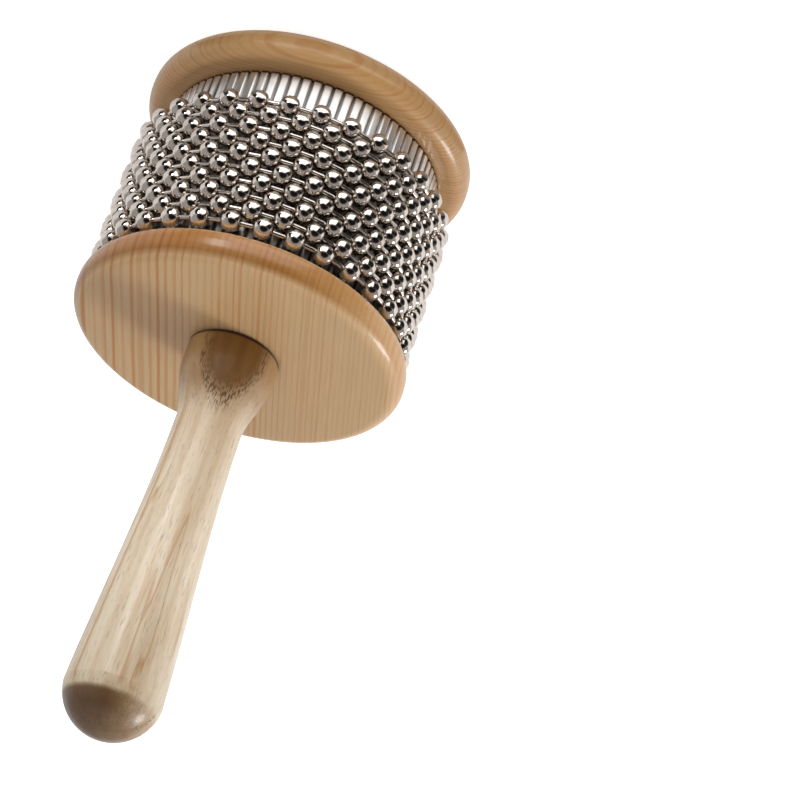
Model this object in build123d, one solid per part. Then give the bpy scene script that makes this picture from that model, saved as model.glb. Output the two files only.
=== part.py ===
from build123d import *
import os
from math import cos, floor, pi, radians, sin, sqrt

# A cabasa standing on its head: the flat face of the end disc is the plane z = 0, the drum's
# axis is the z axis, and the handle points up. Sizes are in millimetres and degrees.

# Wooden end plates of the drum
disc_radius = 50.0
disc_thickness = 10.7
rim_rounding = 4.8
rim_flat = 0.5
spigot_height = 4.0
spigot_clearance = 0.1

# Hollow wooden core between the discs
drum_height = 61.1
core_radius = 40.55
core_wall = 5.0

# Fluted steel sheet wrapped round the core, with a plain hem each side of its seam
sheet_thickness = 0.4
sheet_clearance = 0.05
sheet_end_gap = 0.3
flute_depth = 0.8
flute_spacing = 3.28
land_share = 0.62
groove_floor_share = 0.08
seam_gap = 0.4
seam_direction = 240.0

# Tacks that hold the two hems to the core
tacks_per_hem = 3
tack_diameter = 1.2
tack_length = 4.5
tack_clearance = 0.02
tack_head_diameter = 1.8
tack_head_height = 0.5

# Loops of ball chain round the drum
bead_diameter = 6.35
bead_wall = 0.4
bead_spacing = 9.35
loop_slack = 1.0
row_clearance = 0.27
chain_free_play = 11.0
chain_end_gap = 1.3
first_bead_direction = -1.1

# Dumbbell links held inside the beads
link_diameter = 1.5
link_hole_clearance = 0.2
link_head_overlap = 0.25
link_head_clearance = 0.2
link_head_spread = 0.45

# Turned handle
handle_length = 125.4
collar_radius = 13.6
collar_height = 7.0
waist_radius = 9.8
waist_height = 24.5
grip_radius = 14.15
grip_taper = 0.045
dome_height = 12.9
tenon_radius = 8.0
tenon_clearance = 0.05
tenon_end_gap = 0.2

# Long bolt that clamps the end disc, the core and the handle disc to the handle
bolt_diameter = 6.0
bolt_clearance = 0.3
bolt_tip_reach = 3.3
bolt_tip_room = 2.0
bolt_head_diameter = 10.5
bolt_head_height = 3.3
bolt_head_rounding = 1.6
bolt_head_inset = 0.5
socket_width = 4.0
socket_depth = 2.0
washer_diameter = 16.0
washer_thickness = 1.6
washer_clearance = 0.5

# Threaded insert inside the handle
insert_diameter = 9.0
insert_length = 16.0
insert_inset = 2.0
insert_clearance = 0.05
insert_groove_depth = 0.4
insert_groove_width = 1.2
insert_groove_count = 4
thread_clearance = 0.05

# Heights along the axis
end_disc_top = disc_thickness
handle_disc_base = end_disc_top + drum_height
handle_base = handle_disc_base + disc_thickness

# Sizes that follow from the ones above
rim_fillet = min(rim_rounding, (disc_thickness - rim_flat) / 2)
core_bore_radius = core_radius - core_wall
spigot_radius = core_bore_radius - spigot_clearance
valley_radius = core_radius + sheet_clearance + sheet_thickness
crest_radius = valley_radius + flute_depth
flute_count = round(2 * pi * crest_radius / flute_spacing)
flute_angle = 360 / flute_count
bead_radius = bead_diameter / 2
cavity_radius = bead_radius - bead_wall
loop_radius = crest_radius + loop_slack + bead_radius
bead_count = round(2 * pi * loop_radius / bead_spacing)
bead_angle = 360 / bead_count
stagger_chord = 2 * loop_radius * sin(radians(bead_angle / 4))
nested_pitch = sqrt(max((bead_diameter + row_clearance) ** 2 - stagger_chord ** 2, 0))
row_pitch = max(nested_pitch, bead_radius + link_diameter / 2 + row_clearance)
row_count = floor((drum_height - chain_free_play - bead_diameter) / row_pitch) + 1
washer_base = bolt_head_inset + bolt_head_height
counterbore_depth = washer_base + washer_thickness
insert_base = handle_base + insert_inset
insert_top = insert_base + insert_length
bolt_tip = insert_top + bolt_tip_reach

UPRIGHT = (Align.CENTER, Align.CENTER, Align.MIN)


def rod(radius, low, high):
    """Round bar on the axis between two heights."""
    return Pos(0, 0, low) * Cylinder(radius, high - low, align=UPRIGHT)


def disc_blank():
    """Turned disc on z = 0 with a rounded rim, and on top the spigot that centres the core."""
    plate = rod(disc_radius, 0, disc_thickness)
    plate = fillet(plate.edges().filter_by(GeomType.CIRCLE), rim_fillet)
    return plate + rod(spigot_radius, disc_thickness, disc_thickness + spigot_height)


def end_disc():
    """Disc that the cabasa stands on, counterbored from below for the washer and the bolt's head."""
    hole = rod(bolt_diameter / 2 + bolt_clearance, 0, disc_thickness + spigot_height)
    counterbore = rod(washer_diameter / 2 + washer_clearance, 0, counterbore_depth)
    return disc_blank() - hole - counterbore


def handle_disc():
    """The same disc the other way up, bored through for the handle's tenon."""
    blank = Pos(0, 0, handle_base) * Rot(X=180) * disc_blank()
    return blank - rod(tenon_radius + tenon_clearance, handle_disc_base - spigot_height, handle_base)


def core_tube():
    """Wooden tube between the discs, drilled for the tacks."""
    tube = rod(core_radius, end_disc_top, handle_disc_base)
    tube -= rod(core_bore_radius, end_disc_top, handle_disc_base)
    return tube - tack_shanks(tack_clearance)


def around(radius, angle):
    """Point at a radius and an angle on the plane z = 0."""
    return Vector(radius * cos(radians(angle)), radius * sin(radians(angle)), 0)


def sheet_side(low_radius):
    """One side of the fluted sheet across the axis, from one edge of the seam round to the other:
    a plain hem one flute wide, flat lands with narrow grooves between them, and the other hem."""
    high_radius = low_radius + flute_depth
    half_seam = seam_angle() / 2
    half_land = land_share * flute_angle / 2
    half_foot = (1 - groove_floor_share) * flute_angle / 2
    first = seam_direction + flute_angle
    last = seam_direction + 360 - flute_angle
    corners = [around(low_radius, first)]
    for flute in range(flute_count - 2):
        land = first + (flute + 0.5) * flute_angle
        corners.append(around(low_radius, land - half_foot))
        corners.append(around(high_radius, land - half_land))
        corners.append(around(high_radius, land + half_land))
        corners.append(around(low_radius, land + half_foot))
    corners.append(around(low_radius, last))
    return [
        hem_arc(low_radius, seam_direction + half_seam, first),
        *Polyline(*corners).edges(),
        hem_arc(low_radius, last, seam_direction + 360 - half_seam),
    ]


def seam_angle():
    """Angle that the gap between the two hems takes up."""
    return 360 * seam_gap / (2 * pi * valley_radius)


def hem_arc(radius, start, end):
    """Plain arc round the axis from one angle to another."""
    return ThreePointArc(around(radius, start), around(radius, (start + end) / 2), around(radius, end))


def fluted_sleeve():
    """Steel sheet with flutes along the drum, bent round the core and drilled for the tacks."""
    inner_radius = valley_radius - sheet_thickness
    half_seam = seam_angle() / 2
    edges = sheet_side(valley_radius) + sheet_side(inner_radius)
    for angle in (seam_direction + half_seam, seam_direction - half_seam):
        edges.append(Line(around(inner_radius, angle), around(valley_radius, angle)))
    length = drum_height - 2 * sheet_end_gap
    sheet = extrude(Face(Wire(edges)), amount=length, dir=(0, 0, 1))
    return Pos(0, 0, end_disc_top + sheet_end_gap) * sheet - tack_shanks(tack_clearance)


def tack_planes():
    """A plane for each tack on the hems' outer face, with its normal pointing out from the axis."""
    planes = []
    step = drum_height / tacks_per_hem
    for side in (-1, 1):
        angle = seam_direction + side * (seam_angle() / 2 + flute_angle) / 2
        for place in range(tacks_per_hem):
            height = end_disc_top + (place + 0.5) * step
            origin = around(valley_radius, angle) + Vector(0, 0, height)
            planes.append(Plane(origin=origin, x_dir=(0, 0, 1), z_dir=around(1, angle)))
    return planes


def tack_shanks(clearance):
    """The tacks' round shanks, or the holes for them when a clearance is given."""
    shank = rod(tack_diameter / 2 + clearance, -tack_length - clearance, clearance)
    return [plane * shank for plane in tack_planes()]


def sleeve_tacks():
    """Flat-headed tacks through the sheet's hems into the core."""
    head = rod(tack_head_diameter / 2, 0, tack_head_height)
    tack = head + rod(tack_diameter / 2, -tack_length, 0)
    return [plane * tack for plane in tack_planes()]


def handle():
    """Turned handle: tenon in the disc, collar on it, waist, swelling grip and domed end, bored from
    the tenon's end with one stepped hole for the insert and the bolt's tip."""
    grip_top = handle_length - dome_height
    tenon_end = tenon_end_gap - disc_thickness - spigot_height
    insert_hole = insert_diameter / 2 + insert_clearance
    insert_stop = insert_top - handle_base
    tip_hole = bolt_diameter / 2 + bolt_clearance
    tip_stop = bolt_tip + bolt_tip_room - handle_base
    below = [(collar_radius, 0), (tenon_radius, 0), (tenon_radius, tenon_end), (insert_hole, tenon_end),
             (insert_hole, insert_stop), (tip_hole, insert_stop), (tip_hole, tip_stop), (0, tip_stop)]
    outline = [
        *Polyline(*below).edges(),
        Line((collar_radius, 0), (collar_radius, collar_height)),
        Spline((collar_radius, collar_height), (waist_radius, waist_height), tangents=((0, 1), (0, 1))),
        Spline((waist_radius, waist_height), (grip_radius, grip_top), tangents=((0, 1), (grip_taper, 1))),
        TangentArc((0, handle_length), (grip_radius, grip_top), tangent=(1, 0)),
        Line((0, handle_length), (0, tip_stop)),
    ]
    turned = revolve(Plane.XZ * Face(Wire(outline)), Axis.Z)
    return Pos(0, 0, handle_base) * turned


def tie_bolt():
    """Button-headed bolt from the end disc up into the handle's insert, with a hexagon socket."""
    head = rod(bolt_head_diameter / 2, bolt_head_inset, washer_base)
    lower_edge = head.edges().filter_by(GeomType.CIRCLE).sort_by(Axis.Z)[0]
    head = fillet(lower_edge, min(bolt_head_rounding, bolt_head_height / 2))
    hexagon = RegularPolygon(socket_width / 2, 6, major_radius=False)
    socket = Pos(0, 0, bolt_head_inset) * extrude(hexagon, amount=socket_depth)
    return head - socket + rod(bolt_diameter / 2, washer_base, bolt_tip)


def bolt_washer():
    """Flat washer between the bolt's head and the bottom of the counterbore."""
    washer = rod(washer_diameter / 2, washer_base, counterbore_depth)
    return washer - rod(bolt_diameter / 2 + bolt_clearance, washer_base, counterbore_depth)


def handle_insert():
    """Threaded brass bush in the handle, grooved outside to hold in the wood."""
    bush = rod(insert_diameter / 2, insert_base, insert_top)
    step = insert_length / insert_groove_count
    for groove in range(insert_groove_count):
        low = insert_base + (groove + 0.5) * step - insert_groove_width / 2
        ring = rod(insert_diameter / 2, low, low + insert_groove_width)
        bush -= ring - rod(insert_diameter / 2 - insert_groove_depth, low, low + insert_groove_width)
    return bush - rod(bolt_diameter / 2 + thread_clearance, insert_base, insert_top)


def bead():
    """Hollow ball at the origin of a loop's place at angle 0, with a hole along each link."""
    shell = Sphere(bead_radius) - Sphere(cavity_radius)
    hole = rod(link_diameter / 2 + link_hole_clearance, 0, bead_diameter)
    for side in (-1, 1):
        shell -= Rot(Z=side * bead_angle / 2) * Rot(X=-90 * side) * hole
    return shell


def link():
    """Straight link along y, centred between two beads, with a round head inside each of them."""
    half_length = loop_radius * sin(radians(bead_angle / 2))
    head_radius = link_diameter / 2 + link_hole_clearance + link_head_overlap
    head_reach = sqrt((cavity_radius - link_head_clearance) ** 2 - head_radius ** 2)
    tip = half_length - link_head_spread
    dumbbell = rod(link_diameter / 2, -tip, tip)
    dumbbell += rod(head_radius, half_length - head_reach, tip)
    dumbbell += rod(head_radius, -tip, head_reach - half_length)
    return Rot(X=-90) * dumbbell


def loop_height(row):
    """Height of a loop: the last row lies by the handle disc, and the others below it."""
    last_row = handle_disc_base - chain_end_gap - bead_radius
    return last_row - (row_count - 1 - row) * row_pitch


def chain_ring(piece, radius, row, turn):
    """Copies of one bead or link spaced round the drum at a loop's height."""
    place = Pos(radius, 0, loop_height(row)) * piece
    return [Rot(Z=turn + index * bead_angle) * place for index in range(bead_count)]


def write(name, shape):
    """Write a piece, or a group of like pieces, under its own name."""
    if isinstance(shape, list):
        shape = Compound(shape)
    export_step(shape, f"parts/{name}.step")


os.makedirs("parts", exist_ok=True)
write("end_disc", end_disc())
write("handle_disc", handle_disc())
write("core_tube", core_tube())
write("fluted_sleeve", fluted_sleeve())
write("sleeve_tacks", sleeve_tacks())
write("handle", handle())
write("tie_bolt", tie_bolt())
write("bolt_washer", bolt_washer())
write("handle_insert", handle_insert())

# Neighbouring loops are half a bead apart round the drum, so the beads of one lie in the gaps of the
# next and the loops turn together.
one_bead = bead()
one_link = link()
link_circle = loop_radius * cos(radians(bead_angle / 2))
for row in range(row_count):
    turn = first_bead_direction + (row % 2) * bead_angle / 2
    name = f"chain_loop_{row + 1:02d}"
    write(f"{name}_beads", chain_ring(one_bead, loop_radius, row, turn))
    write(f"{name}_links", chain_ring(one_link, link_circle, row, turn + bead_angle / 2))
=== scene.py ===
import math

import bpy
import numpy as np
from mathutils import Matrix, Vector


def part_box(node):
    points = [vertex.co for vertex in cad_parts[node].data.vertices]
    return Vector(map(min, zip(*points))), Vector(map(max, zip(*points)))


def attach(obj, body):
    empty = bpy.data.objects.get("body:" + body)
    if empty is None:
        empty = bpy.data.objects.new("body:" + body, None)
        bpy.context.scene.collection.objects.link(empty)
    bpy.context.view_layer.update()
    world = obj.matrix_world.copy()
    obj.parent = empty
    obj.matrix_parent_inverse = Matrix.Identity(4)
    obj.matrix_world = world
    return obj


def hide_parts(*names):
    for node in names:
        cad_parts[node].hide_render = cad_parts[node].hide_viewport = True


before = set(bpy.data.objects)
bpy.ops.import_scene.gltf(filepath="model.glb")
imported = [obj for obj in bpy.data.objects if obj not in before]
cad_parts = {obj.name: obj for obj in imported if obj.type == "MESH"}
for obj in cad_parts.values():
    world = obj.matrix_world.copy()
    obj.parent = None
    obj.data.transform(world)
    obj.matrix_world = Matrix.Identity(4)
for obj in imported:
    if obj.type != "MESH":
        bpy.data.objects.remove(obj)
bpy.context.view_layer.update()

# End disc
# A flat turned disc of pale softwood with a fully rounded rim and a satin lacquer. A short spigot
# on its inner side centres the core, and its hidden side is counterbored for the tie bolt.

disc_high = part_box("end_disc")[1]
disc_radius = disc_high.x
disc_thickness = 0.0107
rim_radius = 0.0048
spigot_radius = 0.03545
spigot_height = disc_high.z - disc_thickness
spigot_top = disc_thickness + spigot_height
bolt_hole_radius = 0.0033
counterbore_radius = 0.0085
counterbore_depth = 0.0054
face_steps = 6
rim_steps = 14
shoulder_steps = 2
turning_steps = 128


def line(start, end, steps=1):
    """Straight run of an outline: equal steps from a (radius, height) point to another."""
    share = np.linspace(0, 1, steps + 1)[:, None]
    return np.array(start) + share * (np.array(end) - np.array(start))


def arc(centre, radius, start, end, steps):
    """Round run of an outline: the points at one radius from a centre, between two angles."""
    angle = np.radians(np.linspace(start, end, steps + 1))
    return np.array(centre) + radius * np.stack([np.cos(angle), np.sin(angle)], axis=1)


def mesh_object(name, points, faces, sharp_rows=None, row_length=1):
    """Put computed points and faces into a smooth mesh, with sharp edges along the given rows."""
    mesh = bpy.data.meshes.new(name)
    mesh.from_pydata(points.tolist(), [], faces)
    mesh.shade_smooth()
    if sharp_rows is not None:
        ends = np.empty(len(mesh.edges) * 2, dtype=np.int32)
        mesh.edges.foreach_get("vertices", ends)
        rows = ends.reshape(-1, 2) // row_length
        sharp = (rows[:, 0] == rows[:, 1]) & np.isin(rows[:, 0], sharp_rows)
        mesh.attributes.new("sharp_edge", "BOOLEAN", "EDGE").data.foreach_set("value", sharp)
    made = bpy.data.objects.new(name, mesh)
    bpy.context.scene.collection.objects.link(made)
    return made


def turned_piece(name, runs, steps, lift=0.0, upside_down=False):
    """Piece turned round the z axis. Its outline is a chain of runs of (radius, height) points, with a
    sharp edge where two runs meet, and goes round the wood with the wood on its left. The point of
    row i and step j is at the row's radius and height, at angle 2 pi j / steps. Where the outline
    starts and ends on the axis, each of those ends is one point."""
    outline = np.concatenate([runs[0]] + [run[1:] for run in runs[1:]])
    corners = np.cumsum([len(run) - 1 for run in runs])[:-1]
    on_axis = outline[0, 0] == 0
    rings = outline[1:-1] if on_axis else outline[:-1]
    corner_rows = corners - 1 if on_axis else np.append(corners, 0)
    if upside_down:
        rings = rings * (1, -1)
        outline = outline * (1, -1)
    angle = 2 * np.pi * np.arange(steps) / steps
    radius, height = rings[:, :1], rings[:, 1:]
    points = np.stack([radius * np.cos(angle), radius * np.sin(angle),
                       np.broadcast_to(height + lift, (len(rings), steps))], axis=2).reshape(-1, 3)
    low_rows = np.arange(len(rings) - 1 if on_axis else len(rings))
    low = (low_rows * steps)[:, None]
    high = ((low_rows + 1) % len(rings) * steps)[:, None]
    here = np.arange(steps)
    after = (here + 1) % steps
    faces = np.stack([low + here, low + after, high + after, high + here], axis=2).reshape(-1, 4)
    faces = faces[:, ::-1].tolist() if upside_down else faces.tolist()
    if on_axis:
        first, last = len(points), len(points) + 1
        poles = np.array([[0, 0, outline[0, 1] + lift], [0, 0, outline[-1, 1] + lift]])
        points = np.concatenate([points, poles])
        top_row = (len(rings) - 1) * steps
        faces += np.stack([np.full(steps, first), after, here], axis=1).tolist()
        faces += np.stack([np.full(steps, last), top_row + here, top_row + after], axis=1).tolist()
    return mesh_object(name, points, faces, corner_rows, steps)


def disc_outline(hole_runs):
    """Outline of a disc lying on its outer face, from its hole out over the flat face, round the rim
    and back over the inner face and the spigot to the hole."""
    rim_middle = disc_radius - rim_radius
    low_rim = arc((rim_middle, rim_radius), rim_radius, -90, 0, rim_steps)
    high_rim = arc((rim_middle, disc_thickness - rim_radius), rim_radius, 0, 90, rim_steps)
    spigot_foot = (spigot_radius, disc_thickness)
    spigot_edge = (spigot_radius, spigot_top)
    face = line(hole_runs[-1][-1], low_rim[0], face_steps)
    shoulder = line(high_rim[-1], spigot_foot, shoulder_steps)
    outside = np.concatenate([face, low_rim[1:], high_rim, shoulder[1:]])
    return hole_runs + [outside, line(spigot_foot, spigot_edge), line(spigot_edge, hole_runs[0][0])]


def add_node(tree, kind, inputs=None, **options):
    """Add a shader node, set its options, and give its inputs values or other nodes' outputs."""
    made = tree.nodes.new("ShaderNode" + kind)
    for option, value in options.items():
        setattr(made, option, value)
    for socket, value in (inputs or {}).items():
        if isinstance(value, bpy.types.NodeSocket):
            tree.links.new(value, made.inputs[socket])
        else:
            made.inputs[socket].default_value = value
    return made


def object_place(tree):
    """Place on the piece, in metres in the shared frame."""
    return add_node(tree, "TexCoord").outputs["Object"]


def stretch_node(tree, place, scale, shift=(0, 0, 0)):
    """A place with each axis scaled, then shifted."""
    return add_node(tree, "Mapping", {"Vector": place, "Scale": scale, "Location": shift}).outputs[0]


def noise_node(tree, place, scale=1.0, detail=2.0, roughness=0.5):
    """Soft noise from 0 to 1 at a place."""
    inputs = {"Vector": place, "Scale": scale, "Detail": detail, "Roughness": roughness}
    return add_node(tree, "TexNoise", inputs).outputs[0]


def reach_node(tree, place):
    """Distance from the z axis."""
    flat = add_node(tree, "VectorMath", {0: place, 1: (1, 1, 0)}, operation="MULTIPLY").outputs[0]
    return add_node(tree, "VectorMath", {0: flat}, operation="LENGTH").outputs["Value"]


def math_node(tree, operation, first, second=0.0):
    """Output of one sum on two numbers or sockets."""
    return add_node(tree, "Math", {0: first, 1: second}, operation=operation).outputs[0]


def range_node(tree, value, start=0.0, end=1.0, low=0.0, high=1.0):
    """Number that goes evenly from low to high while a value goes from start to end, and no further."""
    inputs = {"Value": value, "From Min": start, "From Max": end, "To Min": low, "To Max": high}
    return add_node(tree, "MapRange", inputs).outputs[0]


def ramp_node(tree, factor, stops):
    """Output colour of a ramp through (place, colour) stops."""
    made = add_node(tree, "ValToRGB", {"Fac": factor})
    elements = made.color_ramp.elements
    for index, (place, colour) in enumerate(stops):
        element = elements[index] if index < 2 else elements.new(place)
        element.position = place
        element.color = (*colour, 1.0)
    return made.outputs["Color"]


def mix_node(tree, factor, first, second, blend="MIX"):
    """Output colour of two colours mixed by a factor."""
    made = add_node(tree, "Mix", data_type="RGBA", blend_type=blend)
    for socket, value in (("Factor_Float", factor), ("A_Color", first), ("B_Color", second)):
        target = next(one for one in made.inputs if one.identifier == socket)
        if isinstance(value, bpy.types.NodeSocket):
            tree.links.new(value, target)
        else:
            target.default_value = (*value, 1.0) if isinstance(value, tuple) else value
    return next(one for one in made.outputs if one.identifier == "Result_Color")


def tint_node(tree, colour, tint):
    """Output colour of a colour multiplied by a tint."""
    return mix_node(tree, 1.0, colour, tint, "MULTIPLY")


def grey(value):
    """The same share of red, green and blue."""
    return (value, value, value)


def start_material(name, **finish):
    """New material, with the constant values of its finish set on the shader's own sockets."""
    material = bpy.data.materials.new(name)
    material.use_nodes = True
    shader = material.node_tree.nodes["Principled BSDF"]
    for socket, value in finish.items():
        shader.inputs[socket.replace("_", " ")].default_value = value
    return material, material.node_tree, shader


def dress_shader(tree, shader, colour, height, bump_strength, bump_depth, gloss=None):
    """Give a material's shader its colour, the bumps of a height and, where it varies, its roughness."""
    tree.links.new(colour, shader.inputs["Base Color"])
    if gloss is not None:
        tree.links.new(gloss, shader.inputs["Roughness"])
    bump = add_node(tree, "Bump", {"Height": height, "Strength": bump_strength, "Distance": bump_depth})
    tree.links.new(bump.outputs[0], shader.inputs["Normal"])


def softwood(name, grain_direction, ring_pitch, ring_change, left_strength, right_strength, tone_and_shade,
             shaded_left_rim, lit_right_rim, seed):
    """Lacquered softwood. The growth rings are upright sheets along the grain: the fraction of
    (across / pitch + change * across squared + a little noise) runs from pale early wood to a thin
    orange line of late wood, whose strength changes from one edge of the disc to the other. Fine
    fibres and soft blotches lie over the rings. The whole disc is multiplied by one tint, which on the
    end disc is partly its board's colour and partly painted shade. The rim is tinted darker, partly as
    end grain that soaks up finish and partly as painted shade, from a shaded colour on the left to a
    lighter one on the right, which is painted light."""
    pale, warm, late = (0.74, 0.50, 0.265), (0.70, 0.44, 0.215), (0.60, 0.26, 0.075)
    ring_sway, ring_unevenness, unevenness_scale, faintest_ring = 0.0012, 0.7, 130.0, 0.3
    rim_start, rim_full = disc_radius - 0.45 * rim_radius, disc_radius - 0.15 * rim_radius
    material, tree, shader = start_material(name, Coat_Weight=0.4, Coat_Roughness=0.16)
    place = object_place(tree)
    turn = (0, 0, math.radians(90 - grain_direction))
    turned = add_node(tree, "Mapping", {"Vector": place, "Rotation": turn}).outputs[0]
    across = add_node(tree, "SeparateXYZ", {"Vector": turned}).outputs["X"]
    drift = noise_node(tree, stretch_node(tree, turned, (60, 14, 20), (seed, 0, 0)))
    moved = math_node(tree, "ADD", across, math_node(tree, "MULTIPLY", drift, ring_sway))
    even = math_node(tree, "MULTIPLY", moved, 1 / ring_pitch)
    change = math_node(tree, "MULTIPLY", math_node(tree, "MULTIPLY", moved, moved), ring_change)
    uneven_place = math_node(tree, "MULTIPLY", moved, unevenness_scale)
    uneven_noise = add_node(tree, "TexNoise", {"W": uneven_place, "Detail": 1.0}, noise_dimensions="1D")
    uneven = math_node(tree, "MULTIPLY", uneven_noise.outputs[0], ring_unevenness)
    shifted = math_node(tree, "ADD", uneven, seed)
    rings = math_node(tree, "ADD", math_node(tree, "ADD", even, change), shifted)
    ring_share = math_node(tree, "FRACT", rings)
    ring_number = math_node(tree, "FLOOR", rings)
    ring_chance = add_node(tree, "TexWhiteNoise", {"W": ring_number}, noise_dimensions="1D").outputs[0]
    boldness = range_node(tree, ring_chance, low=faintest_ring)
    fade = range_node(tree, across, -disc_radius, 0.4 * disc_radius, left_strength, right_strength)
    ring_weight = math_node(tree, "MULTIPLY", boldness, fade)
    late_share = ramp_node(tree, ring_share, [(0.0, grey(0.2)), (0.08, grey(0.0)), (0.5, grey(0.0)),
                                              (0.7, grey(0.8)), (0.9, grey(1.0)), (1.0, grey(0.2))])
    late_weight = math_node(tree, "MULTIPLY", late_share, ring_weight)
    blotch = noise_node(tree, turned, 28.0, 3.0)
    lined = mix_node(tree, late_weight, mix_node(tree, blotch, pale, warm), late)
    fibre = noise_node(tree, stretch_node(tree, turned, (2400, 70, 900)), detail=3.0)
    fibred = tint_node(tree, lined, ramp_node(tree, fibre, [(0.3, grey(0.9)), (0.7, grey(1.0))]))
    # The rim's colour is partly end grain that soaks up finish and partly painted shade, lighter towards
    # the right as painted light.
    rim_share = range_node(tree, reach_node(tree, place), rim_start, rim_full)
    lit_rim_share = range_node(tree, across, 0.25 * disc_radius, 0.9 * disc_radius)
    rim = mix_node(tree, lit_rim_share, shaded_left_rim, lit_right_rim)
    colour = tint_node(tree, fibred, mix_node(tree, rim_share, tone_and_shade, rim))
    height = math_node(tree, "ADD", math_node(tree, "MULTIPLY", late_share, 0.6), fibre)
    gloss = range_node(tree, fibre, low=0.34, high=0.5)
    dress_shader(tree, shader, colour, height, 0.12, 0.0002, gloss)
    return material


bolt_hole = [line((bolt_hole_radius, spigot_top), (bolt_hole_radius, counterbore_depth)),
             line((bolt_hole_radius, counterbore_depth), (counterbore_radius, counterbore_depth)),
             line((counterbore_radius, counterbore_depth), (counterbore_radius, 0))]
end_disc = turned_piece("end_disc_turned", disc_outline(bolt_hole), turning_steps)
# On the end disc the whole-disc tint is partly its board's colour and partly painted shade.
end_disc.data.materials.append(softwood("end_disc_wood", grain_direction=-23, ring_pitch=0.00135,
                                        ring_change=1500.0, left_strength=0.8, right_strength=0.8,
                                        tone_and_shade=(0.86, 0.75, 0.62), shaded_left_rim=(0.72, 0.62, 0.46),
                                        lit_right_rim=(0.74, 0.64, 0.5), seed=7.3))
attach(end_disc, "drum")
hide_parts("end_disc")

# Core tube
# A plain wooden tube that the sheet is wrapped on. It sits on the discs' spigots and is hidden, so
# it's left as turned: bare, a little dusty, with the marks of the tool round it.


def bare_wood(name):
    """Unfinished wood: streaks along z from stretched noise, with fine rings left by the turning tool."""
    light, dark = (0.60, 0.43, 0.27), (0.42, 0.27, 0.15)
    material, tree, shader = start_material(name, Roughness=0.8)
    place = object_place(tree)
    streak = noise_node(tree, stretch_node(tree, place, (420, 420, 16)), detail=4.0)
    colour = ramp_node(tree, streak, [(0.3, light), (0.75, dark)])
    marks = add_node(tree, "TexWave", {"Vector": place, "Scale": 400.0, "Distortion": 0.6},
                     bands_direction="Z").outputs["Fac"]
    dress_shader(tree, shader, colour, marks, 0.2, 0.0001)
    return material


def finish_node(node, material):
    """Give a CAD node one material in place of its plain one."""
    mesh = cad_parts[node].data
    mesh.materials.clear()
    mesh.materials.append(material)


finish_node("core_tube", bare_wood("core_wood_bare"))

# Fluted sleeve
# One sheet of bright stainless steel, rolled into flat lands with narrow grooves between them, bent
# round the core and held along its seam, where each edge ends in a plain hem.

sleeve_low, sleeve_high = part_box("fluted_sleeve")
sheet_thickness = 0.0004
valley_radius = 0.041
flute_depth = 0.0008
flute_count = 80
land_share = 0.62
bend_share = 0.24
groove_floor_share = 0.08
seam_direction = math.radians(240)
seam_gap = 0.0004
sharp_fold = math.radians(75)
chain_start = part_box("chain_loop_01_beads")[0].z
chain_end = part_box("chain_loop_10_beads")[1].z
# Painted shadow of the chain darkens the sheet between the chain's ends, fading in over this height.
chain_shadow_fade = 0.002
# A thin line of painted shade lies at the sheet's lower end, where it meets the end disc.
joint_shade_start, joint_shade_end = sleeve_low.z + 0.0003, sleeve_low.z + 0.0009


def fluted_sheet(name):
    """Sheet between two radii. Going round from the seam, each flute has six corners: foot, the land's
    edge, two on the land, its other edge and foot. The land is raised by the flute depth, and the first
    and last flute widths are plain hems. Four points stand at each corner: outer low, outer high, inner
    high and inner low. The corners between land and groove are shaded as round bends."""
    half_gap = seam_gap / valley_radius / 2
    pitch = 2 * np.pi / flute_count
    whole_flutes = flute_count - 2
    land = pitch * (1.5 + np.arange(whole_flutes))[:, None]
    half_flute = np.array([land_share - bend_share, land_share, 1 - groove_floor_share])
    corners = pitch / 2 * np.concatenate([-half_flute[::-1], half_flute])
    first_hem = np.array([half_gap, pitch / 2, pitch])
    last_hem = 2 * np.pi - first_hem[::-1]
    turn = np.concatenate([first_hem, (land + corners).reshape(-1), last_hem])
    rises = np.tile(flute_depth * np.array([0, 1, 1, 1, 1, 0]), whole_flutes)
    outer = valley_radius + np.concatenate([0 * first_hem, rises, 0 * last_hem])
    inner = outer - sheet_thickness
    radius = np.stack([outer, outer, inner, inner], axis=1)
    height = np.array([sleeve_low.z, sleeve_high.z, sleeve_high.z, sleeve_low.z])
    angle = (seam_direction + turn)[:, None]
    points = np.stack([radius * np.cos(angle), radius * np.sin(angle),
                       np.broadcast_to(height, radius.shape)], axis=2).reshape(-1, 3)
    here = np.arange(len(turn) - 1)[:, None] * 4
    after = here + 4
    corner = np.arange(4)
    following = (corner + 1) % 4
    faces = np.stack([here + corner, after + corner, after + following, here + following], axis=2)
    last = 4 * (len(turn) - 1)
    ends = [[0, 1, 2, 3], [last + 3, last + 2, last + 1, last]]
    made = mesh_object(name, points, faces.reshape(-1, 4).tolist() + ends)
    made.data.set_sharp_from_angle(angle=sharp_fold)
    return made


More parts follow.
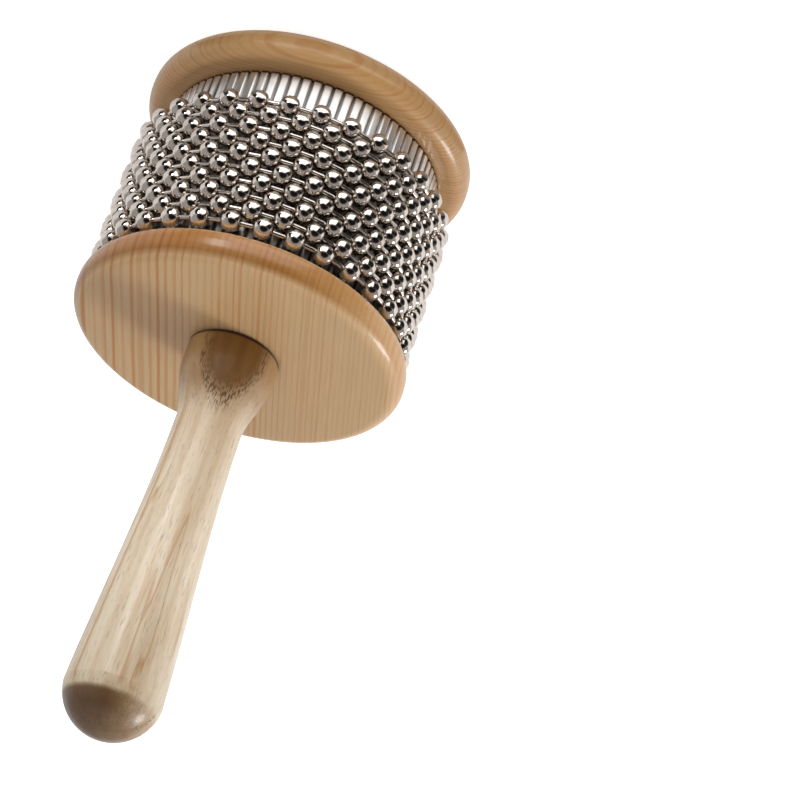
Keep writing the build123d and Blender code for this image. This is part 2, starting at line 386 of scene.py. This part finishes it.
def bright_steel(name):
    """Rolled stainless sheet: fine rolling lines along z in the gloss, and a slow waviness that makes
    each flute catch the light a little differently. The grooves are darker by the distance from the
    axis, partly dirt and partly painted shade. Painted shadow of the chain darkens the sheet where the
    chain runs, and a thin dark line of painted shade lies by the end disc."""
    light, dull, groove_dirt_and_shade = (0.92, 0.92, 0.91), (0.80, 0.80, 0.80), (0.26, 0.25, 0.24)
    chain_shadow, end_joint_shade = (0.32, 0.295, 0.27), (0.07, 0.05, 0.04)
    groove_shade_start, groove_shade_full = valley_radius + 0.9 * flute_depth, valley_radius + 0.5 * flute_depth
    material, tree, shader = start_material(name, Metallic=1.0)
    place = object_place(tree)
    lines = noise_node(tree, stretch_node(tree, place, (3000, 3000, 30)))
    patch = noise_node(tree, place, 60.0, 1.0)
    # Darker in the grooves: partly dirt and partly painted shade.
    groove_shade_share = range_node(tree, reach_node(tree, place), groove_shade_start, groove_shade_full)
    groove_shaded = mix_node(tree, groove_shade_share, mix_node(tree, patch, light, dull), groove_dirt_and_shade)
    up = add_node(tree, "SeparateXYZ", {"Vector": place}).outputs["Z"]
    # Painted shadow of the chain: the sheet is darker in the band where the chain runs.
    above = range_node(tree, up, chain_start, chain_start + chain_shadow_fade)
    below = range_node(tree, up, chain_end, chain_end - chain_shadow_fade)
    chain_shadow_share = math_node(tree, "MULTIPLY", above, below)
    chain_shadowed = tint_node(tree, groove_shaded, mix_node(tree, chain_shadow_share, grey(1.0), chain_shadow))
    # Painted shade: a thin dark line at the joint with the end disc.
    joint_shade_share = range_node(tree, up, joint_shade_start, joint_shade_end)
    colour = mix_node(tree, joint_shade_share, end_joint_shade, chain_shadowed)
    height = math_node(tree, "ADD", patch, math_node(tree, "MULTIPLY", lines, 0.04))
    gloss = range_node(tree, lines, low=0.28, high=0.4)
    dress_shader(tree, shader, colour, height, 0.1, 0.0004, gloss)
    return material


fluted_sleeve = fluted_sheet("fluted_sleeve_sheet")
fluted_sleeve.data.materials.append(bright_steel("fluted_steel_bright"))
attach(fluted_sleeve, "drum")
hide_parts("fluted_sleeve")

# Sleeve tacks
# Six small flat-headed steel tacks in two rows through the hems into the core. They are plain wire
# tacks with a dull, slightly uneven finish.


def dull_metal(name, colour, low_gloss, high_gloss, spot_size):
    """Plain metal: its colour and gloss vary in small soft spots of noise."""
    material, tree, shader = start_material(name, Metallic=1.0)
    spots = noise_node(tree, object_place(tree), spot_size, 4.0)
    darker = tuple(0.75 * share for share in colour)
    gloss = range_node(tree, spots, low=low_gloss, high=high_gloss)
    dress_shader(tree, shader, mix_node(tree, spots, colour, darker), spots, 0.08, 0.0001, gloss)
    return material


finish_node("sleeve_tacks", dull_metal("tack_steel", (0.52, 0.52, 0.53), 0.28, 0.5, 900.0))

# Ball chain loops
# Ten loops of nickel-plated ball chain. Each bead is a hollow pressed ball with a hole at each end,
# and straight links with their heads inside the beads join them into a loose ring round the drum.
# The beads of one loop lie in the gaps of the next, so the loops turn together.

bead_radius = 0.003175
bead_count = 31
bead_angle = 2 * np.pi / bead_count
loop_radius = 0.045975
first_bead_direction = math.radians(-1.1)
loop_count = 10
link_radius = 0.00075
link_hole_radius = 0.00095
link_end_gap = 0.00045
hole_dimple = 0.0004
bead_rows = 5
bead_steps = 12
link_row_shares = np.array([-1, -0.5, 0.5, 1])
link_steps = 8


def rings_on_chain(name, profile, radius, steps, turn, height):
    """Copies of one small turned shape round a loop, each with its own axis along the loop. The
    profile is (radius, reach along the axis) with both ends on the axis. For the copy at angle a, a
    point at reach t and angle b round the axis is: centre + t * tangent + r * (cos b * outward +
    sin b * up)."""
    rows = profile[1:-1]
    around = 2 * np.pi * np.arange(steps) / steps
    ring = np.stack([rows[:, :1] * np.cos(around), np.broadcast_to(rows[:, 1:], (len(rows), steps)),
                     rows[:, :1] * np.sin(around)], axis=2).reshape(-1, 3)
    poles = np.array([[0, profile[0, 1], 0], [0, profile[-1, 1], 0]])
    one = np.concatenate([ring, poles])
    angle = (turn + bead_angle * np.arange(bead_count))[:, None]
    out = radius + one[:, 0]
    up = np.broadcast_to(height + one[:, 2], (bead_count, len(one)))
    points = np.stack([out * np.cos(angle) - one[:, 1] * np.sin(angle),
                       out * np.sin(angle) + one[:, 1] * np.cos(angle), up], axis=2).reshape(-1, 3)
    here = np.arange(steps)
    after = (here + 1) % steps
    low = (np.arange(len(rows) - 1) * steps)[:, None]
    high = low + steps
    sides = np.stack([low + here, low + after, high + after, high + here], axis=2).reshape(-1, 4)
    top_row = (len(rows) - 1) * steps
    first = np.stack([np.full(steps, len(ring)), after, here], axis=1)
    last = np.stack([np.full(steps, len(ring) + 1), top_row + here, top_row + after], axis=1)
    offsets = (np.arange(bead_count) * len(one))[:, None, None]
    faces = []
    for part in (sides, first, last):
        faces += (part[None] + offsets).reshape(-1, part.shape[1]).tolist()
    return mesh_object(name, points, faces)


def polished_nickel(name, low_gloss, high_gloss):
    """Nickel plating: a faintly warm mirror with soft smudges in its gloss and fine handling marks."""
    bright, worn = (0.67, 0.605, 0.55), (0.55, 0.485, 0.43)
    material, tree, shader = start_material(name, Metallic=1.0)
    place = object_place(tree)
    smudge = noise_node(tree, place, 260.0, 3.0)
    marks = noise_node(tree, place, 2600.0, 2.0)
    wear = ramp_node(tree, smudge, [(0.5, grey(0.0)), (0.75, grey(1.0))])
    gloss = range_node(tree, smudge, low=low_gloss, high=high_gloss)
    dress_shader(tree, shader, mix_node(tree, wear, bright, worn), marks, 0.02, 0.0001, gloss)
    return material


hole_angle = math.degrees(math.asin(link_hole_radius / bead_radius))
bead_wall = arc((0, 0), bead_radius, 90 - hole_angle, hole_angle - 90, bead_rows)[::-1]
hole_depth = bead_wall[-1, 1] - hole_dimple
bead_profile = np.concatenate([[(0, -hole_depth)], bead_wall, [(0, hole_depth)]])
link_reach = loop_radius * math.sin(bead_angle / 2) - link_end_gap
link_wall = np.stack([np.full(len(link_row_shares), link_radius), link_reach * link_row_shares], axis=1)
link_profile = np.concatenate([[(0, -link_reach)], link_wall, [(0, link_reach)]])
bead_nickel = polished_nickel("bead_nickel", 0.05, 0.14)
link_nickel = polished_nickel("link_nickel", 0.1, 0.24)

for loop in range(1, loop_count + 1):
    loop_low, loop_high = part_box(f"chain_loop_{loop:02d}_beads")
    loop_height = (loop_low.z + loop_high.z) / 2
    turn = first_bead_direction + bead_angle / 2 * ((loop + 1) % 2)
    beads = rings_on_chain(f"loop_{loop:02d}_beads", bead_profile, loop_radius,
                           bead_steps, turn, loop_height)
    links = rings_on_chain(f"loop_{loop:02d}_links", link_profile, loop_radius * math.cos(bead_angle / 2),
                           link_steps, turn + bead_angle / 2, loop_height)
    beads.data.materials.append(bead_nickel)
    links.data.materials.append(link_nickel)
    for piece, kind in ((beads, "beads"), (links, "links")):
        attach(piece, "chain")
        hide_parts(f"chain_loop_{loop:02d}_{kind}")

# Handle disc
# The same disc at the other end of the drum, spigot down, bored through for the handle's tenon. Its
# board has wider growth rings, with bold orange lines towards one edge.

handle_disc_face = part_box("handle_disc")[1].z
tenon_hole_radius = 0.00805

tenon_hole = [line((tenon_hole_radius, spigot_top), (tenon_hole_radius, 0))]
handle_disc = turned_piece("handle_disc_turned", disc_outline(tenon_hole), turning_steps,
                           lift=handle_disc_face, upside_down=True)
handle_disc.data.materials.append(softwood("handle_disc_wood", grain_direction=66.5, ring_pitch=0.002,
                                           ring_change=2200.0, left_strength=1.5, right_strength=0.55,
                                           tone_and_shade=(1, 1, 1), shaded_left_rim=(0.5, 0.33, 0.13),
                                           lit_right_rim=(0.86, 0.73, 0.54), seed=2.6))
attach(handle_disc, "drum")
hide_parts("handle_disc")

# Handle
# Turned from one length of pale open-pored hardwood: a tenon in the disc, a collar on it, a waist, a
# swelling grip and a domed end. The grain runs along it, and its satin lacquer leaves the pores open.

handle_low, handle_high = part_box("handle")
handle_length = 0.1254
handle_base = handle_high.z - handle_length
tenon_end = handle_low.z - handle_base
tenon_radius = 0.008
insert_hole_radius = 0.00455
insert_hole_top = 0.018
bolt_tip_radius = 0.0033
bolt_tip_top = 0.0233
collar_radius = 0.0136
collar_height = 0.007
foot_groove = 0.0006
waist_radius = 0.0098
waist_height = 0.0245
grip_radius = 0.01415
grip_taper = 0.045
dome_height = 0.0129
grip_top = handle_length - dome_height
collar_rows, flare_rows, grip_rows, dome_rows = 3, 20, 40, 22
handle_steps = 96
side_vein_bearing, side_vein_reach = math.radians(115), 0.25
layer_bearing = math.radians(57)
# Painted shade: beyond these distances from the axis, on one side, the collar is darkened.
collar_shade_start, collar_shade_full = 0.0097, 0.0118
vessel_start, vessel_end = collar_shade_start - 0.0004, collar_shade_full + 0.0008
dome_layer_start, dome_layer_end = 0.0036, 0.0054
# Painted shade: the dome is darkest on the side towards this bearing.
dome_shade_bearing = math.radians(145)


def bend(start, end, start_slope, end_slope, steps):
    """Smooth run of an outline: the cubic that leaves one point and reaches another with the given
    directions, each as long as the straight line between the points."""
    share = np.linspace(0, 1, steps + 1)[:, None]
    start, end = np.array(start), np.array(end)
    reach = np.linalg.norm(end - start)
    leave = reach * np.array(start_slope) / np.linalg.norm(start_slope)
    arrive = reach * np.array(end_slope) / np.linalg.norm(end_slope)
    return ((2 * share ** 3 - 3 * share ** 2 + 1) * start + (share ** 3 - 2 * share ** 2 + share) * leave
            + (3 * share ** 2 - 2 * share ** 3) * end + (share ** 3 - share ** 2) * arrive)


def side_node(tree, place, direction):
    """How far a place lies towards a direction: their dot product."""
    inputs = {0: place, 1: direction}
    return add_node(tree, "VectorMath", inputs, operation="DOT_PRODUCT").outputs["Value"]


def open_pored_wood(name):
    """Pale hardwood with its grain along z. Streaks are noise stretched along z, with a few narrow
    orange ones and one long vein down a side. Fine pores are the peaks of a finer stretched noise. At
    the collar and on the domed end the wood is cut across and soaks up finish, so it is darker there,
    and painted shade darkens both further; a thin dark line of painted shade lies at the collar's foot
    by the disc, and the lacquer is thin at the collar. The grip darkens a little towards its end, as
    painted shade. A flat growth layer, at an even distance from the axis to one side, runs out at the
    flare, and its wide vessels show as short dark dashes along a bow. Beyond it, on that side of the
    collar, the wood is darkened as painted shade. Another such layer crosses the dome, which is
    darkest on one side, as painted shade."""
    cream, tan, orange = (0.80, 0.69, 0.53), (0.66, 0.50, 0.33), (0.50, 0.27, 0.10)
    pore, collar_shade, dome_shade = (0.13, 0.062, 0.018), (0.48, 0.36, 0.18), (0.25, 0.165, 0.09)
    foot_shade = (0.05, 0.02, 0.01)
    material, tree, shader = start_material(name, Coat_Roughness=0.2)
    place = object_place(tree)
    east, north, up = add_node(tree, "SeparateXYZ", {"Vector": place}).outputs
    height_share = range_node(tree, up, handle_base, handle_high.z)

    sway_place = stretch_node(tree, place, (30, 30, 12))
    sway = add_node(tree, "TexNoise", {"Vector": sway_place, "Scale": 1.0, "Detail": 1.0}).outputs["Color"]
    swayed = add_node(tree, "VectorMath", {0: sway, 1: (0.006, 0.006, 0.0), 2: place},
                      operation="MULTIPLY_ADD").outputs[0]
    streak = noise_node(tree, stretch_node(tree, swayed, (330, 330, 7)), 1.0, 5.0, 0.62)
    ground = ramp_node(tree, streak, [(0.36, cream), (0.62, tan)])
    vein = noise_node(tree, stretch_node(tree, swayed, (160, 160, 4), (3.1, 1.7, 0.4)))
    vein_share = ramp_node(tree, vein, [(0.57, grey(0.0)), (0.605, grey(0.75)), (0.625, grey(0.0))])
    bearing = math_node(tree, "ARCTAN2", north, east)
    vein_place = range_node(tree, bearing, side_vein_bearing - side_vein_reach,
                            side_vein_bearing + side_vein_reach)
    side_vein = ramp_node(tree, vein_place, [(0.32, grey(0.0)), (0.5, grey(0.85)), (0.56, grey(0.0))])
    along_grip = ramp_node(tree, height_share, [(0.16, grey(0.0)), (0.22, grey(1.0)),
                                                (0.9, grey(1.0)), (0.93, grey(0.0))])
    veins = math_node(tree, "MULTIPLY", math_node(tree, "MAXIMUM", vein_share, side_vein), along_grip)
    veined = mix_node(tree, veins, ground, orange)

    layer = side_node(tree, place, (math.cos(layer_bearing), math.sin(layer_bearing), 0))
    near_collar = ramp_node(tree, height_share, [(0.0, grey(1.0)), (0.175, grey(1.0)),
                                                 (0.215, grey(0.0))])
    # Painted shade on the collar, on the side towards the layer's bearing.
    shaded_side_share = range_node(tree, layer, collar_shade_start, collar_shade_full)
    collar_shade_share = math_node(tree, "MULTIPLY", shaded_side_share, near_collar)
    collar_shaded = mix_node(tree, collar_shade_share, grey(1.0), collar_shade)
    on_dome = ramp_node(tree, height_share, [(0.922, grey(0.0)), (0.932, grey(1.0)),
                                             (0.96, grey(1.0)), (1.0, grey(0.6))])
    # Painted shade on the dome, darkest on one side and lighter on the other.
    side = side_node(tree, place, (math.cos(dome_shade_bearing), math.sin(dome_shade_bearing), 0))
    dome_shade_side = range_node(tree, side, -0.7 * grip_radius, 0.15 * grip_radius)
    dome_shade_share = math_node(tree, "MULTIPLY", dome_shade_side, on_dome)
    collar_and_dome_shaded = tint_node(tree, veined, mix_node(tree, dome_shade_share, collar_shaded, dome_shade))
    # Darker by height, partly end grain that soaks up finish and partly painted shade: a thin line of
    # painted shade at the collar's foot by the disc, the collar as in the disc's shadow, the grip towards
    # its end, and the domed end.
    soak_and_shade = ramp_node(tree, height_share, [(0.0, foot_shade), (0.0095, foot_shade),
                                            (0.0115, (0.5, 0.35, 0.18)), (0.12, (0.57, 0.44, 0.31)),
                                            (0.2, (0.93, 0.89, 0.84)), (0.35, grey(1.0)),
                                            (0.6, grey(1.0)), (0.85, (0.84, 0.82, 0.79)),
                                            (0.92, (0.81, 0.78, 0.73)), (0.935, (0.7, 0.6, 0.48)),
                                            (1.0, (0.44, 0.32, 0.2))])
    tinted = tint_node(tree, collar_and_dome_shaded, soak_and_shade)

    dome_place = range_node(tree, layer, dome_layer_start, dome_layer_end)
    dome_layer = ramp_node(tree, dome_place, [(0.0, grey(0.2)), (0.35, grey(1.0)),
                                              (0.65, grey(1.0)), (1.0, grey(0.3))])
    dome_grain = math_node(tree, "MULTIPLY", dome_layer, on_dome)
    vessel_place = range_node(tree, layer, vessel_start, vessel_end)
    vessel_layer = ramp_node(tree, vessel_place, [(0.0, grey(0.0)), (0.25, grey(1.0)),
                                                  (0.5, grey(0.9)), (0.95, grey(0.0))])
    collar_grain = math_node(tree, "MULTIPLY", vessel_layer, near_collar)
    end_grain = math_node(tree, "MAXIMUM", dome_grain, collar_grain)
    pore_noise = noise_node(tree, stretch_node(tree, swayed, (2300, 2300, 210)), detail=1.0)
    fine_pores = ramp_node(tree, pore_noise, [(0.6, grey(0.0)), (0.7, grey(0.3))])
    vessel_noise = noise_node(tree, stretch_node(tree, place, (2300, 2300, 420)), detail=0.0)
    vessels = ramp_node(tree, vessel_noise, [(0.51, grey(0.0)), (0.58, grey(0.95))])
    cut_vessels = math_node(tree, "MULTIPLY", vessels, end_grain)
    pore_cover = math_node(tree, "MAXIMUM", fine_pores, cut_vessels)

    colour = mix_node(tree, pore_cover, tinted, pore)
    lacquer = ramp_node(tree, height_share, [(0.1, grey(0.1)), (0.2, grey(0.4))])
    tree.links.new(lacquer, shader.inputs["Coat Weight"])
    height = math_node(tree, "SUBTRACT", math_node(tree, "MULTIPLY", streak, 0.4), pore_cover)
    gloss = range_node(tree, streak, low=0.36, high=0.52)
    dress_shader(tree, shader, colour, height, 0.25, 0.0002, gloss)
    return material


dome_radius = (grip_radius ** 2 + dome_height ** 2) / (2 * dome_height)
dome_start = math.degrees(math.acos(grip_radius / dome_radius))
collar_edge = (collar_radius, collar_height)
waist = (waist_radius, waist_height)
grip_end = (grip_radius, grip_top)
handle_outline = [
    line((0, bolt_tip_top), (bolt_tip_radius, bolt_tip_top)),
    line((bolt_tip_radius, bolt_tip_top), (bolt_tip_radius, insert_hole_top)),
    line((bolt_tip_radius, insert_hole_top), (insert_hole_radius, insert_hole_top)),
    line((insert_hole_radius, insert_hole_top), (insert_hole_radius, tenon_end)),
    line((insert_hole_radius, tenon_end), (tenon_radius, tenon_end)),
    line((tenon_radius, tenon_end), (tenon_radius, 0)),
    line((tenon_radius, 0), (collar_radius - foot_groove, 0)),
    line((collar_radius - foot_groove, 0), (collar_radius, foot_groove)),
    np.concatenate([line((collar_radius, foot_groove), collar_edge, collar_rows),
                    bend(collar_edge, waist, (0, 1), (0, 1), flare_rows)[1:],
                    bend(waist, grip_end, (0, 1), (grip_taper, 1), grip_rows)[1:]]),
    arc((0, handle_length - dome_radius), dome_radius, dome_start, 90, dome_rows),
]
handle = turned_piece("handle_turned", handle_outline, handle_steps, lift=handle_base)
handle.data.materials.append(open_pored_wood("handle_wood_lacquered"))
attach(handle, "drum")
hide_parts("handle")

# Tie bolt, washer and insert
# A long button-headed bolt with a washer under its head goes up through the drum into a brass bush
# in the handle and clamps everything together. Only the head shows, in the end disc's counterbore.

finish_node("tie_bolt", dull_metal("bolt_steel_zinc", (0.62, 0.63, 0.64), 0.2, 0.38, 500.0))
finish_node("bolt_washer", dull_metal("washer_steel", (0.56, 0.56, 0.57), 0.26, 0.45, 700.0))
finish_node("handle_insert", dull_metal("insert_brass", (0.70, 0.48, 0.20), 0.25, 0.45, 600.0))

# Floor
# A plain white sheet that the cabasa stands on. To the camera and, more dimly, in reflections it
# glows as a lit shooting table does, and it keeps the soft shadow.

floor_reach = 8.0
floor_steps = 8
floor_white = (0.82, 0.82, 0.82, 1)
floor_glow = 0.78
mirrored_floor_glow = 0.45


def floor_sheet(name):
    """Flat square grid at height 0."""
    reach = np.linspace(-floor_reach, floor_reach, floor_steps + 1)
    across, along = np.meshgrid(reach, reach)
    points = np.stack([across, along, np.zeros_like(across)], axis=2).reshape(-1, 3)
    first = (np.arange(floor_steps)[:, None] * (floor_steps + 1) + np.arange(floor_steps)).reshape(-1)
    faces = np.stack([first, first + 1, first + floor_steps + 2, first + floor_steps + 1], axis=1)
    return mesh_object(name, points, faces.tolist())


def change_surface(tree, shader, surface):
    """Put another surface in place of a material's own shader."""
    tree.nodes.remove(shader)
    tree.links.new(surface, tree.nodes["Material Output"].inputs["Surface"])


def lit_white(name):
    """White diffuse sheet plus a glow that only camera, glossy and transmission rays see."""
    material, tree, shader = start_material(name)
    white = add_node(tree, "BsdfDiffuse", {"Color": floor_white})
    rays = add_node(tree, "LightPath").outputs
    mirrored = math_node(tree, "ADD", rays["Is Glossy Ray"], rays["Is Transmission Ray"])
    seen_light = math_node(tree, "MULTIPLY", rays["Is Camera Ray"], floor_glow)
    mirrored_light = math_node(tree, "MULTIPLY", mirrored, mirrored_floor_glow)
    glow = add_node(tree, "Emission", {"Strength": math_node(tree, "ADD", seen_light, mirrored_light)})
    both = add_node(tree, "AddShader", {0: white.outputs[0], 1: glow.outputs[0]})
    change_surface(tree, shader, both.outputs[0])
    return material


floor = floor_sheet("floor")
floor.data.materials.append(lit_white("floor_white"))

# Light
# A studio with grey walls that is dark round the camera. On the floor in front of the drum lie a
# fan-shaped light panel and a narrow bright strip, on a black cloth that only reflections show. Three
# softboxes light the object from the right, from higher on the right, and from the left.

dark_side = (0.621, 0.740, 0.259)
panel_middle = math.radians(61)
panel_near, panel_far = 0.064, 0.55
panel_half_width, panel_spread = 0.036, 0.27
panel_height = 0.0008
panel_strength, panel_end_strength = 2.2, 0.9
strip_middle = math.radians(88)
strip_near, strip_far = 0.15, 0.55
strip_half_width, strip_spread = 0.014, 0.09
strip_height = 0.0012
strip_strength = 8.0
cloth_near, cloth_far = 0.052, 3.0
cloth_middle = math.radians(54)
cloth_half_width, cloth_spread = 0.0467, 0.9
cloth_height = 0.0004
cloth_grey_end, cloth_black_start = 0.06, 0.1
fan_rows, fan_columns = 33, 33


def studio_world():
    """Light by direction: a dark part of the room round the camera and to its right, grey walls
    elsewhere, and white at the horizon on the side away from the camera."""
    wall, dim, dark = (0.42, 0.41, 0.40), (0.04, 0.033, 0.029), (0.012, 0.01, 0.009)
    world = bpy.data.worlds.new("studio")
    bpy.context.scene.world = world
    world.use_nodes = True
    tree = world.node_tree
    way = add_node(tree, "TexCoord").outputs["Generated"]
    darkness = side_node(tree, way, dark_side)
    upward = add_node(tree, "SeparateXYZ", {"Vector": way}).outputs["Z"]
    room = ramp_node(tree, darkness, [(0.0, grey(0.42)), (0.62, wall), (0.79, dim), (0.9, dark)])
    low_share = ramp_node(tree, upward, [(0.11, grey(1.0)), (0.24, grey(0.0))])
    away = range_node(tree, darkness, 0.3, 0.1)
    horizon_share = math_node(tree, "MULTIPLY", low_share, away)
    with_horizon = mix_node(tree, horizon_share, room, grey(0.9))
    tree.links.new(with_horizon, tree.nodes["Background"].inputs["Color"])


def fan_sheet(name, near, far, middle, half_width, spread, height):
    """Flat sheet on the floor, facing up, between two distances from the axis. It reaches half a width
    to each side of its middle direction, and that half width grows evenly with the distance."""
    radius = np.linspace(near, far, fan_rows)[:, None]
    half_angle = np.arcsin((half_width + spread * (radius - near)) / radius)
    angle = middle + half_angle * np.linspace(-1, 1, fan_columns)
    points = np.stack([radius * np.cos(angle), radius * np.sin(angle),
                       np.full((fan_rows, fan_columns), height)], axis=2).reshape(-1, 3)
    first = (np.arange(fan_rows - 1)[:, None] * fan_columns + np.arange(fan_columns - 1)).reshape(-1)
    faces = np.stack([first, first + fan_columns, first + fan_columns + 1, first + 1], axis=1)
    return mesh_object(name, points, faces.tolist())


def glowing_panel(name, near, far, near_strength, far_strength):
    """White diffuser whose light changes evenly with the distance from the axis."""
    material, tree, shader = start_material(name)
    reach = reach_node(tree, object_place(tree))
    strength = range_node(tree, reach, near, far, near_strength, far_strength)
    change_surface(tree, shader, add_node(tree, "Emission", {"Strength": strength}).outputs[0])
    return material


def black_cloth(name):
    """Cloth with a fine woven noise in its colour, grey close to the axis and nearly black outside."""
    near_grey = (0.4, 0.38, 0.36)
    material, tree, shader = start_material(name, Roughness=0.9)
    place = object_place(tree)
    weave = noise_node(tree, place, 900.0)
    outside = range_node(tree, reach_node(tree, place), cloth_grey_end, cloth_black_start)
    black = ramp_node(tree, weave, [(0.3, grey(0.004)), (0.7, grey(0.012))])
    tree.links.new(mix_node(tree, outside, near_grey, black), shader.inputs["Base Color"])
    return material


def softbox(name, place, aim, side, power, in_reflections):
    """Soft square lamp at a place, turned to face a point, shown in reflections or not."""
    lamp = bpy.data.lights.new(name, "AREA")
    lamp.shape = "SQUARE"
    lamp.size = side
    lamp.energy = power
    made = bpy.data.objects.new(name, lamp)
    bpy.context.scene.collection.objects.link(made)
    made.location = place
    towards = np.array(aim) - np.array(place)
    tilt = math.atan2(math.hypot(towards[0], towards[1]), -towards[2])
    made.rotation_euler = (tilt, 0, math.atan2(towards[1], towards[0]) - math.pi / 2)
    made.visible_camera = False
    made.visible_glossy = in_reflections


studio_world()
panel = fan_sheet("panel", panel_near, panel_far, panel_middle,
                  panel_half_width, panel_spread, panel_height)
panel.data.materials.append(glowing_panel("panel_white", panel_near, panel_far,
                                          panel_strength, panel_end_strength))
strip = fan_sheet("strip", strip_near, strip_far, strip_middle,
                  strip_half_width, strip_spread, strip_height)
strip.data.materials.append(glowing_panel("strip_white", strip_near, strip_far,
                                          strip_strength, strip_strength))
cloth = fan_sheet("cloth", cloth_near, cloth_far, cloth_middle,
                  cloth_half_width, cloth_spread, cloth_height)
cloth.data.materials.append(black_cloth("cloth_black"))
cloth.visible_diffuse = False
cloth.visible_transmission = False
for sheet in (panel, strip, cloth):
    sheet.visible_camera = False
    sheet.visible_shadow = False
softbox("right_softbox", (1.0, -0.75, 0.3), (0.0, 0.0, 0.1), side=1.3, power=8.0, in_reflections=False)
softbox("high_softbox", (0.85, -0.95, 0.8), (0.0, 0.0, 0.15), side=0.4, power=7.0, in_reflections=True)
softbox("left_softbox", (0.3, 1.4, 0.55), (0.0, 0.0, 0.12), side=1.2, power=8.0, in_reflections=False)

# Camera
# It looks at the handle's end from above and is rolled so that the drum is at the top of the picture.

camera_place = (0.420964, 0.662867, 0.523618)
camera_turns = (-59.264, 15.437, -19.793)
camera_data = bpy.data.cameras.new("photo_camera")
camera_data.sensor_width = 36.0
camera_data.lens = 139.83
camera = bpy.data.objects.new("photo_camera", camera_data)
bpy.context.scene.collection.objects.link(camera)
camera.location = camera_place
camera.rotation_euler = tuple(math.radians(turn) for turn in camera_turns)
bpy.context.scene.camera = camera
bpy.context.scene.view_settings.view_transform = "Standard"
